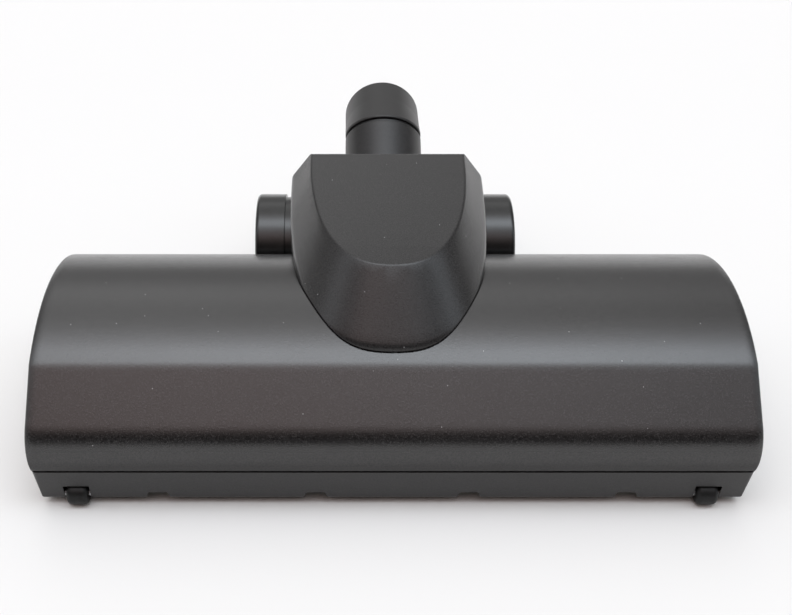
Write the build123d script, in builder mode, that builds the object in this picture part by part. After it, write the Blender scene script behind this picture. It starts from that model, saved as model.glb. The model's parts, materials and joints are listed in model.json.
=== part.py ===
# Floor brush head for a vacuum cleaner, with a brush that an air turbine turns through a belt.
# Millimetres, +Z up, +X across the head, +Y from the front face towards the neck.
# The origin is on the floor, under the middle of the part's outline.

from build123d import *
from math import cos, pi, radians, sin, sqrt, tan
import os

# Head: depths are measured back from the front face, heights up from the floor
head_width = 285.0
head_depth = 111.0
wall = 2.5
sole_height = 3.0
parting_height = 20.0
seam = 0.9
corner_radius = 2.0
base_draft = 6.0
sole_edge_radius = 1.8
lip_thickness = 1.5
lip_rise = 3.0

# Top cover: a front face, a slope up to the crease and a round hump behind it
face_height = 35.5
crease_depth = 23.6
hump_depth = 61.0
hump_height = 64.8
hump_radius = 81.0
brow_radius = 7.0
rear_edge_radius = 4.0
end_edge_radius = 0.9

# Clearances
running_clearance = 0.1
fixed_clearance = 0.05
free_clearance = 0.4
hood_gap = 0.6

# Brush
brush_depth = 38.0
brush_axis_height = 26.0
brush_end_gap = 20.5
core_radius = 14.0
guard_radius = 16.5
guard_width = 3.0
bristle_length = 11.0
tuft_size = 4.0
tuft_flare = 4.0
tuft_pitch = 7.0
tuft_rows = 2
tuft_twist = 150.0
mouth_clearance = 1.0
stub_radius = 2.5
stub_grip = 12.0
stub_reach = 13.0
bearing_width = 22.0
bearing_head = 10.0
bearing_length = 11.0
bearing_rib = 2.0
bearing_rib_height = 8.0

# Turbine and belt
turbine_depth = 94.0
turbine_axis_height = 49.0
turbine_radius = 25.0
turbine_width = 40.0
turbine_hub_radius = 6.0
turbine_disc = 2.0
blade_count = 10
blade_thickness = 1.4
blade_sweep = 35.0
turbine_shaft_radius = 2.0
pedestal_gap = 2.0
pedestal_thickness = 4.0
pedestal_width = 26.0
bush_radius = 4.5
bush_wall = 3.5
pinion_radius = 5.5
pinion_flange_radius = 7.5
pinion_flange = 0.8
pinion_gap = 1.5
pulley_radius = 12.5
belt_width = 4.4
belt_thickness = 1.2
belt_clearance = 0.3

# Partition between the brush chamber and the turbine
partition_gap = 0.6
partition_thickness = 2.0
nozzle_width = 36.0
nozzle_bottom = 12.0
nozzle_top = 30.0
belt_slot_margin = 2.0

# Front rollers and edge notches
roller_radius = 5.0
roller_width = 8.8
roller_edge_radius = 2.2
roller_end_gap = 16.2
roller_setback = 3.4
roller_pin_radius = 1.5
roller_gap = 0.8
roller_liner = 2.0
notch_spacing_inner = 61.6
notch_spacing_outer = 188.0
notch_width = 10.0
notch_top_width = 7.4
notch_height = 4.0
notch_radius = 1.0

# Rear wheels
wheel_radius = 26.0
wheel_width = 14.0
wheel_edge_radius = 2.0
wheel_flange_drop = 1.4
wheel_axle_depth = 149.8
wheel_inset = 4.8
wheel_dish = 3.0
wheel_rim = 5.0
wheel_hub_radius = 8.0
wheel_axle_radius = 3.0
axle_head_radius = 5.0
axle_head = 1.5
axle_grip = 10.0
axle_boss_radius = 9.0

# Hood over the turbine, as two D-shaped outlines joined by straight flanks
hood_back_depth = 129.5
hood_foot_length = 103.7
hood_shoulder_drop = 12.7
hood_foot_slope = 10.05
hood_top_half_width = 34.0
hood_top_length = 77.6
hood_top_back_height = 90.4
hood_top_slope = 5.7
hood_fullness = 2.4
hood_edge_radius = 1.6
hood_shoulder_radius = 6.0
hood_nose_inset = 4.0
hood_window_half = 24.0
hood_window_rise = 8.0
tub_window_drop = 16.0
hood_opening_half = 37.0
hood_opening_radius = 18.0

# Neck: a drum that tilts on trunnions, a rising tube, and a bent end that swivels on it
pivot_depth = 152.0
pivot_height = 44.7
drum_radius = 21.5
drum_half = 30.0
drum_clearance = 0.8
cheek = 13.0
trunnion_radius = 7.0
trunnion_length = 9.0
arm_radius = 13.0
cradle_lip_drop = 12.5
swivel_rise = 30.0
tube_radius = 19.0
elbow_length = 41.0
groove_width = 1.6
passage_radius = 14.0
spigot_radius = 16.5
spigot_length = 11.0
swivel_clearance = 0.3
bead_rise = 0.8
bead_width = 1.6
bead_setback = 2.0
ring_recess = 1.2
collar_width = 1.2
bend_land = 0.2
rim_reach = 32.4
socket_radius = 17.5
socket_depth = 18.0
rim_edge_radius = 1.0
groove_edge_radius = 0.7

# Screws from below
cover_screw_spacing = 150.0
cover_screw_end_gap = 17.5
cover_screw_setback = 15.0
hood_screw_spacing = 73.0
hood_screw_depth = 120.0
screw_radius = 1.7
screw_head_radius = 3.2
screw_head = 2.4
screw_seat_drop = 11.0
screw_bite = 10.0
screw_boss_radius = 5.2

# Places worked out from those sizes
hood_foot_back_height = hood_top_back_height - hood_shoulder_drop
rise = radians(swivel_rise)
tube_start = elbow_length + groove_width
collar_end = tube_start + collar_width
bend_reach = collar_end - tube_radius * tan(rise / 2)
tube_land = (collar_end - bend_reach) * cos(rise) + tube_radius * sin(rise) + bend_land
rim_depth = pivot_depth + bend_reach * cos(rise) + rim_reach
front_reach = roller_radius - roller_setback
y_front = (front_reach - rim_depth) / 2


def back(depth):
    """The Y of a depth behind the front face."""
    return y_front + depth


def hump_level(depth):
    """The height of the cover's round top at a depth behind the front face."""
    return hump_height - hump_radius + sqrt(hump_radius**2 - (depth - hump_depth) ** 2)


half_width = head_width / 2
brush_length = head_width - 2 * brush_end_gap
y_middle = back(head_depth / 2)
cover_bottom = parting_height + seam / 2
base_top = parting_height - seam / 2
sole_top = sole_height + wall
base_wall = wall + free_clearance + lip_thickness
bristle_radius = core_radius + bristle_length
mouth_half = bristle_radius + mouth_clearance
mouth_half_length = brush_length / 2 + 2 * mouth_clearance
partition_depth = brush_depth + mouth_half + partition_gap
pedestal_inner = turbine_width / 2 + pedestal_gap
pedestal_outer = pedestal_inner + pedestal_thickness
pinion_width = belt_width + 2 * free_clearance + 2 * pinion_flange
belt_x = pedestal_outer + pinion_gap + pinion_width / 2
cheek_inner = drum_half + free_clearance
tub_half = cheek_inner + cheek
hood_foot_half_width = tub_half
cradle_radius = drum_radius + drum_clearance
wheel_inner = tub_half + wheel_inset
roller_x = half_width - roller_end_gap
pocket_half = roller_width / 2 + roller_gap
liner_half = pocket_half + roller_liner
bearing_x = brush_length / 2 + 2 * mouth_clearance + bearing_rib
pivot = (0, back(pivot_depth), pivot_height)
wheel_centre = (0, back(wheel_axle_depth), wheel_radius)
turbine_centre = (0, back(turbine_depth), turbine_axis_height)
brush_centre = (0, back(brush_depth), brush_axis_height)
cover_screws = [
    (x * side, back(head_depth - cover_screw_setback))
    for x in (cover_screw_spacing / 2, half_width - cover_screw_end_gap)
    for side in (-1, 1)
]
hood_screws = [(hood_screw_spacing / 2 * side, back(hood_screw_depth)) for side in (-1, 1)]
sides = {"left": -1, "right": 1}


def across(centre):
    """A plane through a cross axis: sketches are Y by Z there, and extrude along +X."""
    return Plane(origin=centre, x_dir=(0, 1, 0), z_dir=(1, 0, 0))


def lengthwise(centre):
    """A plane along a cross axis: sketches are X by Z there, for turned pieces."""
    return Plane(origin=centre, x_dir=(1, 0, 0), z_dir=(0, -1, 0))


def cross_axis(centre):
    return Axis(centre, (1, 0, 0))


swivel_plane = Plane(
    origin=pivot, x_dir=(1, 0, 0), z_dir=(0, cos(rise), sin(rise))
)
bend_plane = Plane(
    origin=swivel_plane.offset(bend_reach).origin, x_dir=(1, 0, 0), z_dir=(0, 1, 0)
)

os.makedirs("parts", exist_ok=True)


def finish(piece, name):
    """Label a finished piece and write it."""
    piece.part.label = name
    export_step(piece.part, f"parts/{name}.step")


def cover_section(grow):
    """The cover's outline from the side, offset outwards by grow."""
    crease = (back(crease_depth), hump_level(crease_depth))
    rear_top = (back(head_depth), hump_level(head_depth))
    with BuildSketch(Plane.YZ) as section:
        with BuildLine():
            Polyline(rear_top, (back(head_depth), cover_bottom), (y_front, cover_bottom))
            Polyline((y_front, cover_bottom), (y_front, face_height), crease)
            ThreePointArc(crease, (back(hump_depth), hump_height), rear_top)
        make_face()
        fillet(section.vertices().sort_by_distance((y_front, face_height))[0], brow_radius)
        fillet(section.vertices().sort_by_distance(rear_top)[0], rear_edge_radius)
        if grow:
            offset(amount=grow, kind=Kind.INTERSECTION, mode=Mode.REPLACE)
    return section.sketch


def hood_outline(plane, half, length):
    """A D-shaped outline: a full curve round the nose and a straight back edge."""
    steps = 12
    points = []
    for step in range(steps + 1):
        across_share = cos(pi * step / steps)
        along_share = abs(sin(pi * step / steps)) ** (2 / hood_fullness)
        side = 1 if across_share >= 0 else -1
        points.append((side * half * abs(across_share) ** (2 / hood_fullness), -length * along_share))
    with BuildSketch(plane) as outline:
        with BuildLine():
            flank = Spline(points, tangents=((0, -1), (0, 1)))
            Line(flank @ 1, flank @ 0)
        make_face()
    return outline.sketch


def tilted(depth, height, slope):
    """A plane across the part that rises towards the back."""
    return Plane(
        origin=(0, back(depth), height),
        x_dir=(1, 0, 0),
        z_dir=(0, -sin(radians(slope)), cos(radians(slope))),
    )


# Top cover
cover_outer = cover_section(0)
cover_inner = cover_section(-wall)
with BuildSketch(Plane.XY.offset(cover_bottom)) as cover_mouth:
    with Locations((0, y_middle)):
        Rectangle(head_width - 2 * wall, head_depth - 2 * wall)
with BuildSketch(Plane.XY.offset(cover_bottom)) as cover_bosses:
    with Locations(*cover_screws):
        Circle(screw_boss_radius)
with BuildSketch(Plane.XY.offset(cover_bottom)) as hood_opening:
    opening_front = back(turbine_depth - turbine_radius - pedestal_gap)
    opening_length = back(head_depth) - opening_front
    with Locations((0, opening_front + opening_length)):
        RectangleRounded(2 * hood_opening_half, 2 * opening_length, hood_opening_radius)
with BuildSketch(Plane.XY.offset(cover_bottom)) as tub_gate:
    with Locations((0, back(head_depth))):
        Rectangle(2 * (tub_half + free_clearance), 2 * (wall + free_clearance))

with BuildPart() as cover_cavity:
    extrude(cover_inner, amount=half_width - wall, both=True)
    extrude(cover_mouth.sketch, amount=wall)
    extrude(cover_bosses.sketch, amount=hump_height, mode=Mode.SUBTRACT)

with BuildPart() as top_cover:
    extrude(cover_outer, amount=half_width, both=True)
    ends = top_cover.faces().filter_by(Axis.X)
    fillet(ends.edges().filter_by(lambda edge: edge.center().Z > cover_bottom + seam), end_edge_radius)
    add(cover_cavity.part, mode=Mode.SUBTRACT)
    extrude(hood_opening.sketch, amount=hump_height, mode=Mode.SUBTRACT)
    extrude(tub_gate.sketch, amount=hump_height, mode=Mode.SUBTRACT)
    with BuildSketch(Plane.XY.offset(cover_bottom)):
        with Locations(*cover_screws):
            Circle(screw_radius + fixed_clearance)
    extrude(amount=screw_bite + wall, mode=Mode.SUBTRACT)
finish(top_cover, "top_cover")

# Hood over the turbine
foot_plane = tilted(hood_back_depth, hood_foot_back_height, hood_foot_slope)
top_plane = tilted(hood_back_depth, hood_top_back_height, hood_top_slope)
inner_foot_plane = tilted(hood_back_depth - wall, hood_foot_back_height, hood_foot_slope)
inner_top_plane = tilted(hood_back_depth - wall, hood_top_back_height - wall, hood_top_slope)
hood_foot = hood_outline(foot_plane, hood_foot_half_width, hood_foot_length)
hood_top = hood_outline(top_plane, hood_top_half_width, hood_top_length)
cavity_foot = hood_outline(
    inner_foot_plane,
    hood_foot_half_width - wall,
    hood_foot_length - wall - hood_nose_inset,
)
cavity_top = hood_outline(
    inner_top_plane,
    hood_top_half_width - wall,
    hood_top_length - wall - hood_nose_inset,
)
cover_keepout = cover_section(hood_gap)
with BuildSketch(Plane.YZ) as arm_section:
    with Locations(pivot[1:]):
        Circle(arm_radius)
    with Locations((back(hood_back_depth) - wall / 2, pivot_height)):
        Rectangle(wall, 2 * arm_radius)
    make_hull()

with BuildPart() as hood_cavity:
    loft([cavity_foot.face(), cavity_top.face()], ruled=True)
    extrude(cavity_foot, amount=hood_foot_back_height, dir=(0, 0, -1))
    with BuildSketch(Plane.XY.offset(pivot_height)):
        with Locations(*hood_screws):
            Circle(screw_boss_radius)
    extrude(amount=screw_bite + wall, mode=Mode.SUBTRACT)

with BuildPart() as turbine_hood:
    loft([hood_foot.face(), hood_top.face()], ruled=True)
    top_edges = turbine_hood.faces().sort_by(Axis.Z)[-1].edges()
    fillet(top_edges, hood_edge_radius)
    extrude(hood_foot, amount=hood_foot_back_height, dir=(0, 0, -1))
    nose = foot_plane.from_local_coords((0, -hood_foot_length, 0))
    fillet(turbine_hood.edges().sort_by_distance(nose)[0], hood_shoulder_radius)
    for side in sides.values():
        with BuildSketch(Plane.YZ.offset(side * (cheek_inner + cheek / 2))):
            add(arm_section.sketch_local)
        extrude(amount=cheek / 2, both=True)
    add(hood_cavity.part, mode=Mode.SUBTRACT)
    extrude(cover_keepout, amount=half_width, both=True, mode=Mode.SUBTRACT)
    with BuildSketch(Plane.XY.offset(pivot_height)):
        with Locations((0, back(hood_back_depth))):
            Rectangle(head_width, 2 * rim_depth)
    extrude(amount=-(pivot_height + hood_foot_back_height), mode=Mode.SUBTRACT)
    with BuildSketch(lengthwise((0, back(hood_back_depth), pivot_height))):
        Rectangle(2 * hood_window_half, 2 * hood_window_rise)
    extrude(amount=2 * wall, both=True, mode=Mode.SUBTRACT)
    with BuildSketch(across(pivot)):
        Circle(trunnion_radius + running_clearance)
    extrude(amount=cheek_inner + trunnion_length + free_clearance, both=True, mode=Mode.SUBTRACT)
    with BuildSketch(Plane.XY.offset(pivot_height)):
        with Locations(*hood_screws):
            Circle(screw_radius + fixed_clearance)
    extrude(amount=screw_bite + wall / 2, mode=Mode.SUBTRACT)
finish(turbine_hood, "turbine_hood")

# Base plate: sole, walls with a lip, brush mouth, rollers' pockets, and the tub behind the head
tub_front = head_depth - 2 * wall


def tub_outline(inset):
    """The tub's outline from the side: a hull over the head's rear, the axle boss and the cradle."""
    with BuildSketch(Plane.YZ) as outline:
        with Locations(pivot[1:]):
            Circle(cradle_radius + wall - inset)
        with Locations(wheel_centre[1:]):
            Circle(axle_boss_radius - inset)
        with Locations((back(tub_front) + inset, sole_height + inset)):
            Rectangle(3 * wall, pivot_height - sole_height, align=(Align.MIN, Align.MIN))
        make_hull()
    return outline


with BuildSketch(Plane.YZ) as tub_section:
    add(tub_outline(0).sketch_local)
    with Locations((back(tub_front), pivot_height)):
        Rectangle(head_depth, head_depth, align=(Align.MIN, Align.MIN), mode=Mode.SUBTRACT)
with BuildSketch(Plane.YZ) as chamber_section:
    add(tub_outline(wall).sketch_local)
    with Locations((back(hood_back_depth) - wall, 0)):
        Rectangle(head_depth, head_depth, align=(Align.MIN, Align.MIN), mode=Mode.SUBTRACT)
with BuildSketch(across(turbine_centre)) as pedestal_section:
    Circle(bush_radius + bush_wall)
    with Locations((0, sole_top - turbine_axis_height)):
        Rectangle(pedestal_width, wall, align=(Align.CENTER, Align.MIN))
    make_hull()
    Circle(bush_radius + fixed_clearance, mode=Mode.SUBTRACT)

with BuildPart() as base_plate:
    with BuildSketch(Plane.XY.offset(base_top)):
        with Locations((0, y_middle)):
            RectangleRounded(head_width, head_depth, corner_radius)
    extrude(amount=sole_height - base_top, taper=base_draft)
    fillet(base_plate.faces().sort_by(Axis.Z)[0].edges(), sole_edge_radius)
    with BuildSketch(Plane.XY.offset(base_top)):
        with Locations((0, y_middle)):
            Rectangle(head_width - 2 * (wall + free_clearance), head_depth - 2 * (wall + free_clearance))
    extrude(amount=lip_rise)
    with BuildSketch(Plane.XY.offset(sole_top)):
        with Locations((0, y_middle)):
            Rectangle(head_width - 2 * base_wall, head_depth - 2 * base_wall)
    extrude(amount=parting_height + lip_rise, mode=Mode.SUBTRACT)
    extrude(tub_section.sketch, amount=tub_half, both=True)
    # Turbine chamber, open to the head through its rear wall, and the cradle for the drum
    extrude(chamber_section.sketch, amount=tub_half - wall, both=True, mode=Mode.SUBTRACT)
    with BuildSketch(Plane.XY.offset(sole_top)):
        with Locations((0, back(tub_front - wall))):
            Rectangle(2 * (tub_half - wall), 3 * wall, align=(Align.CENTER, Align.MIN))
    extrude(amount=hump_height, mode=Mode.SUBTRACT)
    with BuildSketch(across(pivot)):
        Circle(cradle_radius)
    extrude(amount=cheek_inner, both=True, mode=Mode.SUBTRACT)
    with BuildSketch(across(pivot)):
        with Locations((0, -cradle_lip_drop)):
            Rectangle(head_depth, head_depth, align=(Align.MIN, Align.MIN))
    extrude(amount=cheek_inner, both=True, mode=Mode.SUBTRACT)
    with BuildSketch(across(pivot)):
        Circle(trunnion_radius + running_clearance)
    extrude(amount=cheek_inner + trunnion_length + free_clearance, both=True, mode=Mode.SUBTRACT)
    with BuildSketch(lengthwise((0, back(hood_back_depth), pivot_height))):
        Rectangle(2 * hood_window_half, 2 * tub_window_drop)
    extrude(amount=2 * wall, both=True, mode=Mode.SUBTRACT)
    for side in sides.values():
        with BuildSketch(across(wheel_centre).offset(side * tub_half)):
            Circle(wheel_axle_radius + fixed_clearance)
        extrude(amount=-side * (axle_grip + free_clearance), mode=Mode.SUBTRACT)
    # Partition with the air nozzle and the belt slot
    with BuildSketch(Plane.XY.offset(sole_top)):
        with Locations((0, back(partition_depth))):
            Rectangle(
                head_width - 2 * (wall + free_clearance),
                partition_thickness,
                align=(Align.CENTER, Align.MIN),
            )
    extrude(amount=hump_level(partition_depth + partition_thickness) - wall - free_clearance - sole_top)
    with BuildSketch(lengthwise((0, back(partition_depth), 0))):
        with Locations((0, nozzle_bottom)):
            Rectangle(nozzle_width, nozzle_top - nozzle_bottom, align=(Align.CENTER, Align.MIN))
        slot_bottom = brush_axis_height - pulley_radius
        slot_height = turbine_axis_height + pinion_radius - slot_bottom
        with Locations((belt_x, slot_bottom)):
            slot_width = belt_width + 2 * belt_slot_margin
            Rectangle(slot_width, slot_height, align=(Align.CENTER, Align.MIN))
    extrude(amount=-partition_thickness, mode=Mode.SUBTRACT)
    # Pedestals for the turbine's bushes
    for side in sides.values():
        with BuildSketch(across(turbine_centre).offset(side * (pedestal_inner + pedestal_thickness / 2))):
            add(pedestal_section.sketch_local)
        extrude(amount=pedestal_thickness / 2, both=True)
    # Ribs that hold the brush's bearing blocks
    with BuildSketch(Plane.XY.offset(sole_top)):
        for side in sides.values():
            for edge in (-1, 1):
                rib_x = side * (bearing_x + bearing_length / 2)
                rib_offset = bearing_width / 2 + fixed_clearance + bearing_rib / 2
                with Locations((rib_x, back(brush_depth) + edge * rib_offset)):
                    Rectangle(bearing_length, bearing_rib)
    extrude(amount=bearing_rib_height)
    # Pockets for the front rollers, each in its own liner
    with BuildSketch(Plane.XY.offset(sole_height)):
        with Locations((-roller_x, y_front + wall), (roller_x, y_front + wall)):
            liner_depth = roller_setback + roller_radius + roller_gap + roller_liner - wall
            Rectangle(2 * liner_half, liner_depth, align=(Align.CENTER, Align.MIN))
    extrude(amount=2 * roller_radius + roller_gap + roller_liner - sole_height)
    with BuildSketch(Plane.XY):
        with Locations((-roller_x, y_front), (roller_x, y_front)):
            pocket_depth = roller_setback + roller_radius + roller_gap
            Rectangle(2 * pocket_half, 2 * pocket_depth)
    extrude(amount=2 * roller_radius + roller_gap, mode=Mode.SUBTRACT)
    for side in sides.values():
        with BuildSketch(across((side * roller_x, back(roller_setback), roller_radius))):
            Circle(roller_pin_radius + fixed_clearance)
        extrude(amount=pocket_half + roller_liner * 3 / 4, both=True, mode=Mode.SUBTRACT)
    # Brush mouth and the notches in the front edge
    with BuildSketch(Plane.XY.offset(sole_height)):
        with Locations((0, back(brush_depth))):
            Rectangle(2 * mouth_half_length, 2 * mouth_half)
    extrude(amount=wall, mode=Mode.SUBTRACT)
    with BuildSketch(lengthwise((0, y_front, sole_height))):
        notch_places = [
            (spacing / 2 * side, 0)
            for spacing in (notch_spacing_inner, notch_spacing_outer)
            for side in sides.values()
        ]
        with BuildSketch(mode=Mode.PRIVATE) as notch:
            with BuildLine():
                Polyline(
                    (-notch_width / 2, 0),
                    (-notch_top_width / 2, notch_height),
                    (notch_top_width / 2, notch_height),
                    (notch_width / 2, 0),
                    close=True,
                )
            make_face()
            fillet(notch.vertices().group_by(Axis.Y)[-1], notch_radius)
        with Locations(*notch_places):
            add(notch.sketch)
    extrude(amount=-(brush_depth - mouth_half), mode=Mode.SUBTRACT)
    # Screw pillars
    with BuildSketch(Plane.XY.offset(sole_height + wall / 2)):
        with Locations(*cover_screws):
            Circle(screw_boss_radius)
    extrude(amount=base_top - sole_height - wall / 2)
    with BuildSketch(Plane.XY.offset(sole_top)):
        with Locations(*hood_screws):
            Circle(screw_boss_radius)
    extrude(amount=pivot_height - sole_top)
    for joint_height, places in ((parting_height, cover_screws), (pivot_height, hood_screws)):
        with BuildSketch(Plane.XY.offset(joint_height)):
            with Locations(*places):
                Circle(screw_radius + fixed_clearance)
        extrude(amount=-screw_seat_drop - wall, mode=Mode.SUBTRACT)
        with BuildSketch(Plane.XY.offset(joint_height - screw_seat_drop)):
            with Locations(*places):
                Circle(screw_head_radius + free_clearance)
        extrude(amount=-joint_height, mode=Mode.SUBTRACT)
finish(base_plate, "base_plate")

# Screws
with BuildPart() as housing_screws:
    for joint_height, places in ((parting_height, cover_screws), (pivot_height, hood_screws)):
        with BuildSketch(Plane.XY.offset(joint_height - screw_seat_drop)):
            with Locations(*places):
                Circle(screw_radius)
        extrude(amount=screw_seat_drop + screw_bite)
        with BuildSketch(Plane.XY.offset(joint_height - screw_seat_drop)):
            with Locations(*places):
                Circle(screw_head_radius)
        extrude(amount=-screw_head)
finish(housing_screws, "housing_screws")

# Rear wheels and their headed stub axles
head_x = wheel_inner + wheel_width - wheel_dish
for name, side in sides.items():
    with BuildPart() as rear_wheel:
        with BuildSketch(lengthwise(wheel_centre)):
            rim_low = wheel_radius - wheel_rim
            with BuildLine():
                Polyline(
                    (side * (tub_half + free_clearance), wheel_axle_radius + running_clearance),
                    (side * (tub_half + free_clearance), wheel_hub_radius),
                    (side * (wheel_inner + wheel_dish), wheel_hub_radius),
                    (side * (wheel_inner + wheel_dish), rim_low),
                    (side * (tub_half + free_clearance), rim_low),
                    (side * (tub_half + free_clearance), wheel_radius - wheel_flange_drop),
                    (side * wheel_inner, wheel_radius - wheel_flange_drop),
                    (side * wheel_inner, wheel_radius),
                    (side * (wheel_inner + wheel_width), wheel_radius),
                    (side * (wheel_inner + wheel_width), rim_low),
                    (side * head_x, rim_low - wheel_dish),
                    (side * head_x, wheel_axle_radius + running_clearance),
                    close=True,
                )
            face = make_face()
            tread = face.vertices().group_by(Axis.Y)[-1]
            fillet(tread.sort_by(Axis.X, reverse=side > 0)[0], wheel_edge_radius)
        revolve(axis=cross_axis(wheel_centre))
    finish(rear_wheel, f"rear_wheel_{name}")

    with BuildPart() as wheel_axle:
        with BuildSketch(across(wheel_centre).offset(side * (tub_half - axle_grip))):
            Circle(wheel_axle_radius)
        extrude(amount=side * (head_x + free_clearance - tub_half + axle_grip))
        with BuildSketch(across(wheel_centre).offset(side * (head_x + free_clearance))):
            Circle(axle_head_radius)
        extrude(amount=side * axle_head)
    finish(wheel_axle, f"wheel_axle_{name}")

# Front rollers on their pins
for name, side in sides.items():
    roller_centre = (side * roller_x, back(roller_setback), roller_radius)
    with BuildPart() as front_roller:
        with BuildSketch(across(roller_centre)):
            Circle(roller_radius)
            Circle(roller_pin_radius + running_clearance, mode=Mode.SUBTRACT)
        extrude(amount=roller_width / 2, both=True)
        ends = front_roller.faces().filter_by(Axis.X)
        fillet(ends.edges().filter_by(lambda edge: edge.radius > roller_pin_radius * 2), roller_edge_radius)
    finish(front_roller, f"front_roller_{name}")

    with BuildPart() as roller_axle:
        with BuildSketch(across(roller_centre)):
            Circle(roller_pin_radius)
        extrude(amount=pocket_half + roller_liner / 2, both=True)
    finish(roller_axle, f"roller_axle_{name}")

# Brush core with thread guards at its ends and the belt's groove
with BuildPart() as brush_core:
    with BuildSketch(across(brush_centre)):
        Circle(core_radius)
    extrude(amount=brush_length / 2, both=True)
    for side in sides.values():
        with BuildSketch(across(brush_centre).offset(side * brush_length / 2)):
            Circle(guard_radius)
        extrude(amount=-side * guard_width)
    with BuildSketch(across(brush_centre).offset(belt_x)):
        Circle(guard_radius)
        Circle(pulley_radius, mode=Mode.SUBTRACT)
    extrude(amount=belt_width / 2 + free_clearance, both=True, mode=Mode.SUBTRACT)
    for side in sides.values():
        with BuildSketch(across(brush_centre).offset(side * brush_length / 2)):
            Circle(stub_radius + fixed_clearance)
        extrude(amount=-side * (stub_grip + free_clearance), mode=Mode.SUBTRACT)
finish(brush_core, "brush_core")

# Bristle tufts in chevron rows that run from both ends to the middle
with BuildPart() as tuft:
    with BuildSketch(Plane.XY.offset(core_radius)):
        Rectangle(tuft_size, tuft_size)
    extrude(amount=bristle_length, taper=-tuft_flare)

tuft_reach = brush_length / 2 - guard_width - tuft_size
tuft_places = []
for side in sides.values():
    for index in range(int(tuft_reach / tuft_pitch) + 1):
        x = side * (tuft_reach - index * tuft_pitch)
        beside_belt = abs(x - belt_x) > belt_width / 2 + tuft_size
        for row in range(tuft_rows):
            turn = 360 * row / tuft_rows + tuft_twist * abs(x) / tuft_reach
            if beside_belt and abs(x) > tuft_size:
                tuft_places.append(Location((x, brush_centre[1], brush_centre[2]), (turn, 0, 0)))
with BuildPart() as bristle_tufts:
    with Locations(*tuft_places):
        add(tuft.part)
finish(bristle_tufts, "bristle_tufts")

# Stub shafts of the brush, and the blocks that carry them
for name, side in sides.items():
    with BuildPart() as brush_stub:
        with BuildSketch(across(brush_centre).offset(side * (brush_length / 2 - stub_grip))):
            Circle(stub_radius)
        extrude(amount=side * (stub_grip + stub_reach))
    finish(brush_stub, f"brush_stub_{name}")

    with BuildPart() as brush_bearing:
        with BuildSketch(across(brush_centre).offset(side * bearing_x)):
            Circle(bearing_head)
            with Locations((0, sole_top - brush_axis_height)):
                Rectangle(bearing_width, bearing_head, align=(Align.CENTER, Align.MIN))
            make_hull()
            Circle(stub_radius + running_clearance, mode=Mode.SUBTRACT)
        extrude(amount=side * bearing_length)
    finish(brush_bearing, f"brush_bearing_{name}")

# Turbine with swept blades on a hub
with BuildSketch() as blade:
    root = turbine_hub_radius - blade_thickness
    mid_turn = radians(blade_sweep / 3)
    tip_turn = radians(blade_sweep)
    mid_radius = (root + turbine_radius) / 2
    tip = (turbine_radius * cos(tip_turn), turbine_radius * sin(tip_turn))
    middle = (mid_radius * cos(mid_turn), mid_radius * sin(mid_turn))
    with BuildLine():
        pressure = ThreePointArc((root, 0), middle, tip)
        suction = ThreePointArc(
            (root, -blade_thickness),
            (middle[0], middle[1] - blade_thickness),
            (tip[0], tip[1] - blade_thickness),
        )
        Line(pressure @ 0, suction @ 0)
        Line(pressure @ 1, suction @ 1)
    make_face()
with BuildPart() as turbine_wheel:
    with BuildSketch(across(turbine_centre)):
        with PolarLocations(0, blade_count):
            add(blade.sketch)
        Circle(turbine_radius, mode=Mode.INTERSECT)
        Circle(turbine_hub_radius)
    extrude(amount=turbine_width / 2, both=True)
    with BuildSketch(across(turbine_centre)):
        Circle(turbine_radius)
    extrude(amount=turbine_disc / 2, both=True)
    with BuildSketch(across(turbine_centre)):
        Circle(turbine_shaft_radius + fixed_clearance)
    extrude(amount=turbine_width, both=True, mode=Mode.SUBTRACT)
finish(turbine_wheel, "turbine_wheel")

# Turbine shaft, its bushes and the belt pinion
with BuildPart() as turbine_shaft:
    with BuildSketch(across(turbine_centre).offset(-pedestal_outer - pinion_gap)):
        Circle(turbine_shaft_radius)
    extrude(amount=pedestal_outer + pinion_gap + belt_x + pinion_width / 2 + pinion_gap)
finish(turbine_shaft, "turbine_shaft")

for name, side in sides.items():
    with BuildPart() as turbine_bush:
        with BuildSketch(across(turbine_centre).offset(side * pedestal_inner)):
            Circle(bush_radius)
            Circle(turbine_shaft_radius + running_clearance, mode=Mode.SUBTRACT)
        extrude(amount=side * pedestal_thickness)
    finish(turbine_bush, f"turbine_bush_{name}")

with BuildPart() as turbine_pinion:
    with BuildSketch(across(turbine_centre).offset(belt_x)):
        Circle(pinion_radius)
    extrude(amount=pinion_width / 2, both=True)
    for side in sides.values():
        with BuildSketch(across(turbine_centre).offset(belt_x + side * pinion_width / 2)):
            Circle(pinion_flange_radius)
        extrude(amount=-side * pinion_flange)
    with BuildSketch(across(turbine_centre).offset(belt_x)):
        Circle(turbine_shaft_radius + fixed_clearance)
    extrude(amount=pinion_width, both=True, mode=Mode.SUBTRACT)
finish(turbine_pinion, "turbine_pinion")

# Drive belt round the pinion and the groove of the brush core


def belt_loop(lift):
    """The loop round both pulleys, lifted off their running faces."""
    with BuildSketch(Plane.YZ.offset(belt_x)) as loop:
        with Locations(turbine_centre[1:]):
            Circle(pinion_radius + lift)
        with Locations(brush_centre[1:]):
            Circle(pulley_radius + lift)
        make_hull()
    return loop.sketch


belt_outer = belt_loop(belt_clearance + belt_thickness)
belt_inner = belt_loop(belt_clearance)
with BuildPart() as drive_belt:
    extrude(belt_outer, amount=belt_width / 2, both=True)
    extrude(belt_inner, amount=belt_width / 2, both=True, mode=Mode.SUBTRACT)
finish(drive_belt, "drive_belt")

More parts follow.
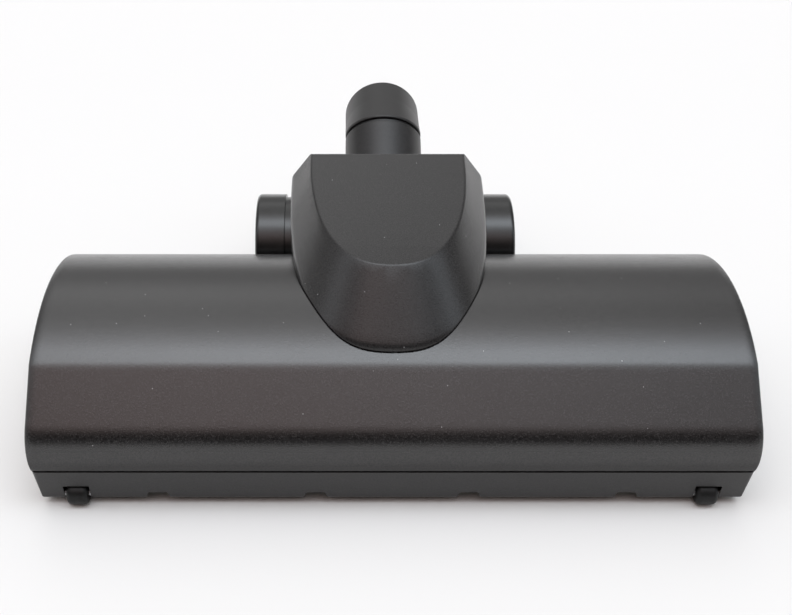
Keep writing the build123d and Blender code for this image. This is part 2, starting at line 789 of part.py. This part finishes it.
# Neck elbow: the drum on its trunnions and the rising tube
socket_start = elbow_length - spigot_length - free_clearance
with BuildPart() as neck_elbow:
    with BuildSketch(across(pivot)):
        Circle(drum_radius)
    extrude(amount=drum_half, both=True)
    with BuildSketch(across(pivot)):
        Circle(trunnion_radius)
    extrude(amount=cheek_inner + trunnion_length, both=True)
    with BuildSketch(swivel_plane):
        Circle(tube_radius)
    extrude(amount=elbow_length)
    fillet(neck_elbow.faces().filter_by(swivel_plane).sort_by(Axis.Z)[-1].edges(), groove_edge_radius)
    with BuildSketch(across(pivot)):
        Circle(drum_radius - wall)
    extrude(amount=drum_half - wall, both=True, mode=Mode.SUBTRACT)
    with BuildSketch(swivel_plane):
        Circle(passage_radius)
    extrude(amount=elbow_length, mode=Mode.SUBTRACT)
    with BuildSketch(swivel_plane.offset(socket_start)):
        Circle(spigot_radius + swivel_clearance)
    extrude(amount=elbow_length, mode=Mode.SUBTRACT)
    with BuildSketch(swivel_plane.offset(socket_start + bead_setback)):
        Circle(spigot_radius + bead_rise + swivel_clearance)
    extrude(amount=bead_width + 2 * free_clearance, mode=Mode.SUBTRACT)
    with BuildSketch(swivel_plane):
        Rectangle(2 * (drum_half - 2 * wall), 2 * passage_radius)
    extrude(amount=-drum_radius, mode=Mode.SUBTRACT)
finish(neck_elbow, "neck_elbow")

# Neck tube: a spigot in the elbow, a round collar and the bent end with the wand's socket
bead_start = socket_start + bead_setback + free_clearance


def bend(radius):
    """The passage from the round collar to the level tube, in straight lines."""
    with BuildPart() as piece:
        for end in (swivel_plane.offset(collar_end), bend_plane.offset(tube_land)):
            with BuildSketch(end):
                Circle(radius)
        loft(ruled=True)
    return piece.part


with BuildPart() as neck_tube:
    with BuildSketch(swivel_plane.offset(tube_start)):
        Circle(tube_radius)
    extrude(amount=collar_width)
    fillet(neck_tube.faces().filter_by(swivel_plane).sort_by(Axis.Y)[0].edges(), groove_edge_radius)
    add(bend(tube_radius))
    with BuildSketch(bend_plane.offset(tube_land)):
        Circle(tube_radius)
    extrude(amount=rim_reach - tube_land)
    fillet(neck_tube.faces().filter_by(bend_plane).sort_by(Axis.Y)[-1].edges(), rim_edge_radius)
    with BuildSketch(swivel_plane.offset(elbow_length - spigot_length)):
        Circle(spigot_radius)
    extrude(amount=spigot_length + groove_width)
    with BuildSketch(swivel_plane.offset(bead_start)):
        Circle(spigot_radius + bead_rise)
    extrude(amount=bead_width)
    # Air passage round the bend, and the socket
    with BuildSketch(swivel_plane.offset(elbow_length - spigot_length)):
        Circle(passage_radius)
    extrude(amount=spigot_length + groove_width + collar_width, mode=Mode.SUBTRACT)
    add(bend(passage_radius), mode=Mode.SUBTRACT)
    with BuildSketch(bend_plane.offset(tube_land)):
        Circle(passage_radius)
    extrude(amount=rim_reach - tube_land, mode=Mode.SUBTRACT)
    with BuildSketch(bend_plane.offset(rim_reach - socket_depth)):
        Circle(socket_radius)
    extrude(amount=socket_depth, mode=Mode.SUBTRACT)
finish(neck_tube, "neck_tube")

# Ring in the swivel groove
with BuildPart() as swivel_ring:
    with BuildSketch(swivel_plane.offset(elbow_length + free_clearance)):
        Circle(tube_radius - ring_recess)
        Circle(spigot_radius + fixed_clearance, mode=Mode.SUBTRACT)
    extrude(amount=groove_width - free_clearance)
finish(swivel_ring, "swivel_ring")
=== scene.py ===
import json
import math
import random

import bmesh
import bpy
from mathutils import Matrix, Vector


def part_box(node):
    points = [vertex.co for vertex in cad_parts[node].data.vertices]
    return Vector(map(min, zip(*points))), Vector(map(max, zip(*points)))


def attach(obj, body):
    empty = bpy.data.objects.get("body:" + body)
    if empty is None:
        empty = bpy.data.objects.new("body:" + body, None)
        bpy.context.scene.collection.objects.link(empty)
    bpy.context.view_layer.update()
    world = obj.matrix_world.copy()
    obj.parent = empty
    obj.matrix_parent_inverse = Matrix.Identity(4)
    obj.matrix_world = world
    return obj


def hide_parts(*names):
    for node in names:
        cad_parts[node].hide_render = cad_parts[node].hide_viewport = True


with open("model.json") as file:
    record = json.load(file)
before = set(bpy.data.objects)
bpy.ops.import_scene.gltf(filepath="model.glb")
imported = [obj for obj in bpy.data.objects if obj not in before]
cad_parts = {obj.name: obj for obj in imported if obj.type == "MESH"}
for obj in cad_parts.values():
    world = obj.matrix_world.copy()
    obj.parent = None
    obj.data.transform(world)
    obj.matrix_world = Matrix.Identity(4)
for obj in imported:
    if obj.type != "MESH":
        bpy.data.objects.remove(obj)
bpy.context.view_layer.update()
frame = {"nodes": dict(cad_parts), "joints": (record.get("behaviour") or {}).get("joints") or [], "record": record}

# Looks for the floor brush head, in metres and in the part's own frame: the front is towards -Y and the
# floor is at Z = 0. The angles among these values are in degrees.

# The camera stands where the photograph's perspective puts it, ahead of the cover's front face.
# The lens and the sensor are in millimetres, and the shift is a share of the sensor's width.
CAMERA_ASIDE = -0.0176
CAMERA_AHEAD = 0.2963
CAMERA_HEIGHT = 0.3252
CAMERA_PITCH = 37.12
LENS = 48.67
SENSOR_WIDTH = 36.0
LENS_SHIFT = 0.0602

# Light by direction, in degrees from the front horizon over the top to the back horizon:
# one colour towards the left and one towards the right
SKY = [
    (0, (0.02, 0.02, 0.02), (0.02, 0.02, 0.02)),
    (20, (0.02, 0.02, 0.02), (0.02, 0.02, 0.02)),
    (35, (0.10, 0.08, 0.07), (0.10, 0.09, 0.08)),
    (42, (0.32, 0.24, 0.21), (0.30, 0.26, 0.25)),
    (49, (0.82, 0.62, 0.57), (0.70, 0.60, 0.58)),
    (56, (1.52, 1.18, 1.15), (1.24, 1.14, 1.16)),
    (64, (1.85, 1.52, 1.50), (1.60, 1.62, 1.70)),
    (74, (2.6, 2.55, 2.6), (2.7, 2.85, 3.0)),
    (81, (4.7, 4.8, 5.0), (5.3, 5.7, 6.1)),
    (90, (4.7, 4.8, 5.0), (5.3, 5.7, 6.1)),
    (98, (2.9, 2.9, 3.0), (3.1, 3.2, 3.4)),
    (108, (1.8, 1.8, 1.8), (1.5, 1.5, 1.5)),
    (120, (1.5, 1.5, 1.5), (0.95, 0.95, 0.95)),
    (140, (1.75, 1.75, 1.75), (1.1, 1.1, 1.1)),
    (150, (0.85, 0.85, 0.85), (0.7, 0.7, 0.7)),
    (165, (0.5, 0.5, 0.5), (0.5, 0.5, 0.5)),
    (180, (0.5, 0.5, 0.5), (0.5, 0.5, 0.5)),
]
# The table's level that stands for full light, and the strength of full light
SKY_PEAK = 7.0
SKY_STRENGTH = 6.45
# The sideways share of a direction, either way, between which left turns into right
SKY_MIX = 0.35
# The sideways shares between which the light fades, and the level that it fades to
SIDE_START = 0.22
SIDE_FULL = 0.62
SIDE_LEVEL = 0.36
# The pale band round the horizon, and the upward shares of a direction between which it ends
HORIZON = (0.98, 0.98, 0.98)
HORIZON_START = 0.12
HORIZON_END = 0.18

FLOOR_SIZE = 40.0
FLOOR_COLOUR = (0.83, 0.82, 0.80)
FLOOR_SHADE = 0.99
FLOOR_CLOUD_SIZE = 0.2
FLOOR_ROUGHNESS = 0.9

# Plastic: its clouds and grain, how far each changes the roughness, and specks of dust.
# GRAIN_RANGE is the part of the noise that the tint follows.
CLOUD_SIZE = 0.03
CLOUD_DETAIL = 4
CLOUD_ROUGHNESS = 0.04
GRAIN_DETAIL = 3
GRAIN_ROUGHNESS = 0.05
GRAIN_RANGE = (0.35, 0.65)
DUST_SPACING = 0.004
DUST_RADIUS = 0.00022
DUST_STRENGTH = 0.35
DUST_COLOUR = (0.7, 0.7, 0.7)

# Between these heights, from the parting line to the brow, the cover's edges grow softer and its foot's
# extra roughness wears off
SOFT_HEIGHTS = (0.024, 0.032)
FOOT_ROUGHNESS = 0.45

# Metal: its tool marks or pores, and how far they change its colour and roughness
MARK_DETAIL = 4
MARK_SHADES = (0.8, 1.1)
MARK_ROUGHNESS = 0.08
METAL_EDGE = 0.0002

# Rays by which the shader softens an edge
BEVEL_SAMPLES = 6

# Finishes by material slot, with the settings of plastic() and metal() below
CHARCOAL = (0.013, 0.012, 0.012)
SOOT = (0.008, 0.008, 0.008)
PLASTICS = {
    "cover_plastic": dict(
        colour=CHARCOAL,
        roughness=0.22,
        gloss=0.78,
        grain=0.00055,
        depth=0.00005,
        mottle=0.1,
        stipple=0.9,
        edge=0.0004,
        soft_edge=0.005,
        dust=0.3,
    ),
    "base_plastic": dict(
        colour=CHARCOAL, roughness=0.36, gloss=0.54, grain=0.0006, depth=0.00003, stipple=0.5, edge=0.0002
    ),
    "hood_plastic": dict(
        colour=(0.018, 0.017, 0.017),
        roughness=0.24,
        gloss=0.44,
        grain=0.0005,
        depth=0.00005,
        stipple=0.4,
        edge=0.0006,
        dust=0.3,
    ),
    "wheel_plastic": dict(colour=SOOT, roughness=0.2, grain=0.003, depth=0.00001, dust=0.1),
    "roller_plastic": dict(colour=(0.006, 0.006, 0.006), roughness=0.45, gloss=0.3, grain=0.002),
    "neck_plastic": dict(
        colour=CHARCOAL, roughness=0.42, gloss=0.45, grain=0.002, depth=0.00001, dust=0.15
    ),
    "ring_plastic": dict(colour=SOOT, roughness=0.4),
    "core_plastic": dict(colour=(0.03, 0.03, 0.032), roughness=0.4),
    "bristle": dict(
        colour=(0.02, 0.02, 0.022), roughness=0.38, grain=0.0008, depth=0.000005, mottle=0.3, edge=0.00001
    ),
    "belt_rubber": dict(
        colour=(0.012, 0.012, 0.012), roughness=0.7, gloss=0.4, grain=0.0006, depth=0.00003
    ),
    "turbine_plastic": dict(colour=(0.6, 0.6, 0.57), roughness=0.35, grain=0.002, depth=0.00001),
    "bearing_plastic": dict(colour=(0.1, 0.1, 0.1), roughness=0.45),
}
METALS = {
    "bronze": dict(colour=(0.5, 0.33, 0.16), roughness=0.42, grain=0.0004, depth=0.00002),
    "steel": dict(colour=(0.55, 0.55, 0.56), roughness=0.3, grain=0.0007, depth=0.00001),
}

# Corners of a CAD mesh that are nearer than this are one corner
WELD = 1e-6

# The cover's brow: the height of the CAD's corner of slope and front face, the slope's angle and the
# corner's radius. The roll that the photograph shows instead starts a reach up the slope and ends at the
# parting line. Faces that start within the zone behind the front face are cut into steps for it, and only
# the skin follows it.
BROW_HEIGHT = 0.0355
BROW_SLOPE = 40.5
BROW_CAD_RADIUS = 0.007
BROW_REACH = 0.0065
BROW_CUTS = 32
BROW_ZONE = 0.007
BROW_SKIN = 0.004
CUT_MERGE = 5e-6
# The cover's crease, as depth behind the front face. It stays sharp, as do edges over an angle.
CREASE_DEPTH = 0.0236
CREASE_SLACK = 1e-5
COVER_SHARP_EDGE = 35.0

# The hood's foot and top are D outlines that start at its back, a depth behind the cover's front face:
# the length along the slope, the height at the back and the slope down to the front. The powers give an
# outline's curve. Its width is 0 at its very front, so the share of its length stops short of 1.
HOOD_BACK = 0.1295
HOOD_FOOT = (0.1037, 0.0777, 10.05)
HOOD_TOP = (0.0776, 0.0904, 5.7)
HOOD_CAD_POWERS = (2.4, 2.4)
HOOD_FOOT_POWERS = (2.6, 2.75)
HOOD_SHARE_LIMIT = 0.999
HOOD_SHARP_EDGE = 24.0

# Brush filaments: the tip's radius is a share of the root's, and each is short by up to the stray
FILAMENTS_PER_TUFT = 48
FILAMENT_SIDES = 3
FILAMENT_RADIUS = 0.00011
FILAMENT_TIP = 0.8
FILAMENT_STRAY = 0.0006
FILAMENT_SEED = 7


class Graph:
    """A node tree, with short calls to add nodes and to join them."""

    def __init__(self, tree):
        self.tree = tree

    def add(self, kind, **settings):
        node = self.tree.nodes.new("ShaderNode" + kind)
        for key, value in settings.items():
            setattr(node, key, value)
        return node

    def put(self, value, socket):
        """Sets a socket to a constant, or joins it to another node's output."""
        if isinstance(value, bpy.types.NodeSocket):
            self.tree.links.new(value, socket)
        else:
            socket.default_value = value

    def maths(self, operation, *values, clamp=False):
        node = self.add("Math", operation=operation, use_clamp=clamp)
        for value, socket in zip(values, node.inputs):
            self.put(value, socket)
        return node.outputs["Value"]

    def blend(self, factor, first, second):
        """A colour between two others."""
        node = self.add("Mix", data_type="RGBA")
        colours = [socket for socket in node.inputs if socket.type == "RGBA"]
        self.put(factor, node.inputs["Factor"])
        self.put(first, colours[0])
        self.put(second, colours[1])
        return [socket for socket in node.outputs if socket.type == "RGBA"][0]

    def remap(self, value, low, high, start=0.0, end=1.0):
        """A value from start to end, as a value from low to high."""
        node = self.add("MapRange")
        for name, number in (("From Min", start), ("From Max", end), ("To Min", low), ("To Max", high)):
            node.inputs[name].default_value = number
        self.put(value, node.inputs["Value"])
        return node.outputs["Result"]

    def noise(self, place, size, detail=2.0):
        """Noise with grains of about a size in metres."""
        node = self.add("TexNoise")
        node.inputs["Scale"].default_value = 1 / size
        node.inputs["Detail"].default_value = detail
        self.put(place, node.inputs["Vector"])
        return node.outputs["Fac"]


def solid(colour):
    return (*colour, 1.0)


def shaded(colour, share):
    return solid([channel * share for channel in colour])


BLACK = solid((0, 0, 0))


def start_material(name):
    """A material, its graph, its shader and the place on the piece."""
    material = bpy.data.materials.new(name)
    material.use_nodes = True
    graph = Graph(material.node_tree)
    shader = material.node_tree.nodes["Principled BSDF"]
    place = graph.add("TexCoord").outputs["Object"]
    return material, graph, shader, place


def surface(graph, shader, height, depth, edge):
    """Bump from a height, over edges that are softened to a radius."""
    bevel = graph.add("Bevel", samples=BEVEL_SAMPLES)
    graph.put(edge, bevel.inputs["Radius"])
    bump = graph.add("Bump")
    bump.inputs["Strength"].default_value = 1.0
    bump.inputs["Distance"].default_value = depth
    graph.put(height, bump.inputs["Height"])
    graph.put(bevel.outputs["Normal"], bump.inputs["Normal"])
    graph.put(bump.outputs["Normal"], shader.inputs["Normal"])


def specks(graph, place, share):
    """1 on sparse round specks of dust, and 0 elsewhere."""
    cells = graph.add("TexVoronoi")
    cells.inputs["Scale"].default_value = 1 / DUST_SPACING
    graph.put(place, cells.inputs["Vector"])
    near = graph.maths("LESS_THAN", cells.outputs["Distance"], DUST_RADIUS / DUST_SPACING)
    kept = graph.maths("LESS_THAN", cells.outputs["Color"], share)
    return graph.maths("MULTIPLY", near, kept)


def plastic(
    name,
    colour,
    roughness,
    gloss=0.5,
    grain=0.0012,
    depth=0.00002,
    mottle=0.08,
    stipple=0.25,
    edge=0.0003,
    soft_edge=None,
    dust=0.0,
):
    """Moulded plastic: a mottled tint, uneven gloss, a fine grain and, where it lies open, some dust.

    grain and depth are the grain's size and height, mottle and stipple how far the clouds and the grain
    change the tint, edge the radius of its edges, soft_edge their radius above SOFT_HEIGHTS, and dust the
    share of places that have a speck.
    """
    material, graph, shader, place = start_material(name)
    clouds = graph.noise(place, CLOUD_SIZE, CLOUD_DETAIL)
    grains = graph.noise(place, grain, GRAIN_DETAIL)
    # A shade of -1 is black, 0 is the colour itself and 1 is twice the colour
    shade = graph.maths(
        "ADD", graph.remap(clouds, -mottle, mottle), graph.remap(grains, -stipple, stipple, *GRAIN_RANGE)
    )
    tint = graph.blend(graph.remap(shade, 0.0, 1.0, -1.0, 1.0), BLACK, shaded(colour, 2.0))
    if dust:
        dusty = graph.maths("MULTIPLY", specks(graph, place, dust), DUST_STRENGTH)
        tint = graph.blend(dusty, tint, solid(DUST_COLOUR))
    graph.put(tint, shader.inputs["Base Color"])
    shader.inputs["Specular IOR Level"].default_value = gloss
    uneven = graph.maths(
        "ADD",
        graph.remap(clouds, -CLOUD_ROUGHNESS, CLOUD_ROUGHNESS),
        graph.remap(grains, -GRAIN_ROUGHNESS, GRAIN_ROUGHNESS),
    )
    if soft_edge:
        split = graph.add("SeparateXYZ")
        graph.put(place, split.inputs["Vector"])
        height = split.outputs["Z"]
        edge = graph.remap(height, edge, soft_edge, *SOFT_HEIGHTS)
        uneven = graph.maths("ADD", uneven, graph.remap(height, FOOT_ROUGHNESS, 0.0, *SOFT_HEIGHTS))
    graph.put(graph.maths("ADD", uneven, roughness), shader.inputs["Roughness"])
    surface(graph, shader, grains, depth, edge)
    return material


def metal(name, colour, roughness, grain, depth):
    """Bare metal with fine tool marks or pores."""
    material, graph, shader, place = start_material(name)
    marks = graph.noise(place, grain, MARK_DETAIL)
    dark, pale = (shaded(colour, share) for share in MARK_SHADES)
    graph.put(graph.blend(marks, dark, pale), shader.inputs["Base Color"])
    shader.inputs["Metallic"].default_value = 1.0
    uneven = graph.remap(marks, roughness - MARK_ROUGHNESS, roughness + MARK_ROUGHNESS)
    graph.put(uneven, shader.inputs["Roughness"])
    surface(graph, shader, marks, depth, METAL_EDGE)
    return material


materials = {name: plastic(name, **finish) for name, finish in PLASTICS.items()}
materials |= {name: metal(name, **finish) for name, finish in METALS.items()}


def paint(piece, slot):
    piece.data.materials.clear()
    piece.data.materials.append(materials[slot])


def paint_nodes():
    for subpart in frame["record"]["subparts"]:
        paint(frame["nodes"][subpart["node"]], subpart["material_slot"])


def add_piece(name, mesh, slot, node, body):
    """A piece that stands for a CAD node and moves with a body."""
    piece = bpy.data.objects.new(name, mesh)
    bpy.context.scene.collection.objects.link(piece)
    paint(piece, slot)
    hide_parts(node)
    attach(piece, body)
    return piece


def copy_shape(node):
    """A copy of a CAD node's mesh, with its faces joined at their corners."""
    shape = bmesh.new()
    shape.from_mesh(frame["nodes"][node].data)
    bmesh.ops.remove_doubles(shape, verts=shape.verts, dist=WELD)
    return shape


def finish_shape(shape, name, sharp_edge, crease=None):
    """A smooth mesh from a shape. Edges over an angle stay sharp, and so do those at a crease's place."""
    shape.normal_update()
    for face in shape.faces:
        face.smooth = True
    for edge in shape.edges:
        edge.smooth = edge.calc_face_angle(0.0) < math.radians(sharp_edge)
        if crease is not None and all(abs(corner.co.y - crease) < CREASE_SLACK for corner in edge.verts):
            edge.smooth = False
    mesh = bpy.data.meshes.new(name)
    shape.to_mesh(mesh)
    shape.free()
    return mesh


def unit(value):
    """A value, held between 0 and 1."""
    return min(max(value, 0.0), 1.0)


class Brow:
    """The cover's brow from the side: the front face's place, and the roll's centre, radius and span.

    The centre's depth is behind the front face. Angles are in radians, above level at the centre.
    """

    def __init__(self):
        self.front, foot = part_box("top_cover")[0].yz
        slope, drop = math.radians(BROW_SLOPE), BROW_HEIGHT - foot
        chord_squared = BROW_REACH**2 + 2 * drop * BROW_REACH * math.sin(slope) + drop**2
        self.radius = chord_squared / (2 * drop * math.cos(slope))
        self.depth = BROW_REACH * math.cos(slope) + self.radius * math.sin(slope)
        self.height = BROW_HEIGHT + BROW_REACH * math.sin(slope) - self.radius * math.cos(slope)
        self.foot_angle = math.atan2(foot - self.height, self.depth)
        self.top_angle = math.pi / 2 - slope

    def cad_reach(self, angle):
        """How far the CAD's outline is from the centre at an angle: its round corner, or a flat face."""
        # The middle of that round corner, from the centre, and where a line at the angle leaves it
        ahead = self.depth - BROW_CAD_RADIUS
        rise = BROW_HEIGHT - BROW_CAD_RADIUS * math.tan(self.top_angle / 2) - self.height
        along = ahead * math.cos(angle) + rise * math.sin(angle)
        spare = BROW_CAD_RADIUS**2 - ahead**2 - rise**2 + along**2
        if spare > 0:
            hit = along + math.sqrt(spare)
            turn = math.atan2(hit * math.sin(angle) - rise, hit * math.cos(angle) - ahead)
            if 0 < turn < self.top_angle:
                return hit
        return min(self.depth / math.cos(angle), self.radius / math.cos(self.top_angle - angle))

    def cut(self, shape):
        """Cuts a shape's front along planes that fan out from the centre."""
        zone_end = self.front + BROW_ZONE
        for step in range(1, BROW_CUTS):
            angle = self.foot_angle + (self.top_angle - self.foot_angle) * step / BROW_CUTS
            near = [face for face in shape.faces if min(corner.co.y for corner in face.verts) < zone_end]
            parts = {part: None for face in near for part in (face, *face.edges, *face.verts)}
            bmesh.ops.bisect_plane(
                shape,
                geom=list(parts),
                plane_co=(0, self.front + self.depth, self.height),
                plane_no=(0, math.sin(angle), math.cos(angle)),
            )
        bmesh.ops.remove_doubles(shape, verts=shape.verts, dist=CUT_MERGE)
        bmesh.ops.dissolve_degenerate(shape, edges=shape.edges, dist=CUT_MERGE)

    def roll(self, shape):
        """Moves a shape's skin from the CAD's outline to the roll, and nothing that is two skins deep."""
        for corner in shape.verts:
            ahead, rise = self.front + self.depth - corner.co.y, corner.co.z - self.height
            angle = math.atan2(rise, ahead)
            if self.foot_angle < angle < self.top_angle:
                reach = self.cad_reach(angle)
                inside = (reach - math.hypot(ahead, rise)) / BROW_SKIN
                move = (self.radius - reach) * unit(2 - inside)
                corner.co.y -= move * math.cos(angle)
                corner.co.z += move * math.sin(angle)


def build_cover():
    """The CAD cover with the brow rolled over as one round from the slope to the parting line."""
    brow = Brow()
    shape = copy_shape("top_cover")
    brow.cut(shape)
    brow.roll(shape)
    mesh = finish_shape(shape, "cover_shell", COVER_SHARP_EDGE, brow.front + CREASE_DEPTH)
    cover = add_piece("cover_shell", mesh, "cover_plastic", "top_cover", "housing")
    cover.modifiers.new("flat_faces", "WEIGHTED_NORMAL").keep_sharp = True


def outline_width(share, powers):
    """Half the width of a D outline, as a share of its widest, at a share of its length from the back."""
    return (1 - share ** powers[0]) ** (1 / powers[1])


def build_hood():
    """The CAD hood with the fuller foot that the photograph shows: its points move sideways only."""
    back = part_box("top_cover")[0].y + HOOD_BACK
    outlines = [(length, height, math.radians(slope)) for length, height, slope in (HOOD_FOOT, HOOD_TOP)]
    foot_reach, top_reach = (length * math.cos(slope) for length, _, slope in outlines)
    shape = copy_shape("turbine_hood")
    for corner in shape.verts:
        ahead = max(back - corner.co.y, 0.0)
        low, high = (height - ahead * math.tan(slope) for _, height, slope in outlines)
        rise = unit((corner.co.z - low) / (high - low))
        share = min(ahead / (foot_reach + (top_reach - foot_reach) * rise), HOOD_SHARE_LIMIT)
        fuller = outline_width(share, HOOD_FOOT_POWERS) / outline_width(share, HOOD_CAD_POWERS)
        corner.co.x *= rise + fuller * (1 - rise)
    mesh = finish_shape(shape, "hood_shell", HOOD_SHARP_EDGE)
    add_piece("hood_shell", mesh, "hood_plastic", "turbine_hood", "housing")


def separate_solids(node):
    """The corner points of each separate solid of a CAD node."""
    shape = copy_shape(node)
    unseen = dict.fromkeys(shape.verts)
    solids = []
    while unseen:
        island = [unseen.popitem()[0]]
        for corner in island:
            for edge in corner.link_edges:
                other = edge.other_vert(corner)
                if other in unseen:
                    del unseen[other]
                    island.append(other)
        solids.append([corner.co.copy() for corner in island])
    shape.free()
    return solids


def middle(points):
    return sum(points, Vector()) / len(points)


def add_filament(corners, faces, line, first_way, second_way):
    """Adds a thin closed prism along a line from root to tip, with two directions across it."""
    root = [len(corners) + turn for turn in range(FILAMENT_SIDES)]
    tip = [corner + FILAMENT_SIDES for corner in root]
    for point, radius in zip(line, (FILAMENT_RADIUS, FILAMENT_RADIUS * FILAMENT_TIP)):
        for turn in range(FILAMENT_SIDES):
            angle = math.tau * turn / FILAMENT_SIDES
            across = first_way * math.cos(angle) + second_way * math.sin(angle)
            corners.append(point + across * radius)
    for turn in range(FILAMENT_SIDES):
        following = (turn + 1) % FILAMENT_SIDES
        faces.append([tip[turn], tip[following], root[following], root[turn]])
    faces += [tip[::-1], root]


def build_bristles():
    """Fine filaments in place of each solid tuft, spread as the tuft spreads."""
    chance = random.Random(FILAMENT_SEED)
    spin = next(joint for joint in frame["joints"] if joint["name"] == "brush_spin")
    axle = Vector(spin["pos_m"])
    along = Vector(spin["axis"])
    corners, faces = [], []
    for tuft in separate_solids("bristle_tufts"):
        hub = axle + along * (middle(tuft) - axle).dot(along)
        out = (middle(tuft) - hub).normalized()
        round_way = along.cross(out)
        by_height = sorted(tuft, key=lambda point: (point - hub).dot(out))
        ends = (by_height[: len(tuft) // 2], by_height[len(tuft) // 2 :])
        centres = [middle(end) for end in ends]
        spreads = [
            max((point - centre).dot(along) for point in end) for end, centre in zip(ends, centres)
        ]
        for _ in range(FILAMENTS_PER_TUFT):
            u, v = chance.uniform(-1, 1), chance.uniform(-1, 1)
            stray = chance.uniform(0, FILAMENT_STRAY)
            line = [
                centre + (along * u + round_way * v) * (spread - FILAMENT_RADIUS)
                for centre, spread in zip(centres, spreads)
            ]
            line[1] -= out * stray
            add_filament(corners, faces, line, along, round_way)
    mesh = bpy.data.meshes.new("brush_filaments")
    mesh.from_pydata(corners, [], faces)
    add_piece("brush_filaments", mesh, "bristle", "bristle_tufts", "brush")


def build_floor():
    """A plain pale floor."""
    mesh = bpy.data.meshes.new("floor")
    half = FLOOR_SIZE / 2
    corners = [(-half, -half, 0), (half, -half, 0), (half, half, 0), (-half, half, 0)]
    mesh.from_pydata(corners, [], [[0, 1, 2, 3]])
    floor = bpy.data.objects.new("floor", mesh)
    bpy.context.scene.collection.objects.link(floor)
    material, graph, shader, place = start_material("floor")
    clouds = graph.noise(place, FLOOR_CLOUD_SIZE)
    tint = graph.blend(clouds, shaded(FLOOR_COLOUR, FLOOR_SHADE), solid(FLOOR_COLOUR))
    graph.put(tint, shader.inputs["Base Color"])
    shader.inputs["Roughness"].default_value = FLOOR_ROUGHNESS
    mesh.materials.append(material)


def sky_ramp(graph, turn, colours):
    """A colour by direction, from the front horizon to the back horizon."""
    ramp = graph.add("ValToRGB")
    graph.put(graph.maths("DIVIDE", turn, math.pi, clamp=True), ramp.inputs["Fac"])
    stops = ramp.color_ramp.elements
    stops.remove(stops[1])
    for degrees, colour in colours:
        stop = stops.new(degrees / 180) if degrees else stops[0]
        stop.color = shaded(colour, 1 / SKY_PEAK)
    return ramp.outputs["Color"]


def build_light():
    """A studio round the part: a bank of light overhead, grey behind, and darkness towards the camera."""
    world = bpy.data.worlds.new("studio")
    bpy.context.scene.world = world
    world.use_nodes = True
    graph = Graph(world.node_tree)
    backdrop = world.node_tree.nodes["Background"]
    direction = graph.add("SeparateXYZ")
    graph.put(graph.add("TexCoord").outputs["Generated"], direction.inputs["Vector"])
    aside, along, up = direction.outputs
    turn = graph.maths("ARCTAN2", up, graph.maths("MULTIPLY", along, -1.0))
    left = sky_ramp(graph, turn, [(degrees, colour) for degrees, colour, _ in SKY])
    right = sky_ramp(graph, turn, [(degrees, colour) for degrees, _, colour in SKY])
    light = graph.blend(graph.remap(aside, 0.0, 1.0, -SKY_MIX, SKY_MIX), left, right)
    fade = graph.remap(graph.maths("ABSOLUTE", aside), 0.0, 1 - SIDE_LEVEL, SIDE_START, SIDE_FULL)
    light = graph.blend(fade, light, BLACK)
    near_horizon = graph.remap(up, 1.0, 0.0, HORIZON_START, HORIZON_END)
    light = graph.blend(near_horizon, light, shaded(HORIZON, 1 / SKY_STRENGTH))
    graph.put(light, backdrop.inputs["Color"])
    backdrop.inputs["Strength"].default_value = SKY_STRENGTH


def build_camera():
    """A camera that looks straight back and down at the part."""
    data = bpy.data.cameras.new("camera")
    data.lens = LENS
    data.sensor_width = SENSOR_WIDTH
    data.shift_x = LENS_SHIFT
    camera = bpy.data.objects.new("camera", data)
    bpy.context.scene.collection.objects.link(camera)
    camera.location = (CAMERA_ASIDE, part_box("top_cover")[0].y - CAMERA_AHEAD, CAMERA_HEIGHT)
    camera.rotation_euler = (math.radians(90 - CAMERA_PITCH), 0, 0)
    bpy.context.scene.camera = camera


paint_nodes()
build_cover()
build_hood()
build_bristles()
build_floor()
build_light()
build_camera()
bpy.context.scene.view_settings.view_transform = "Standard"
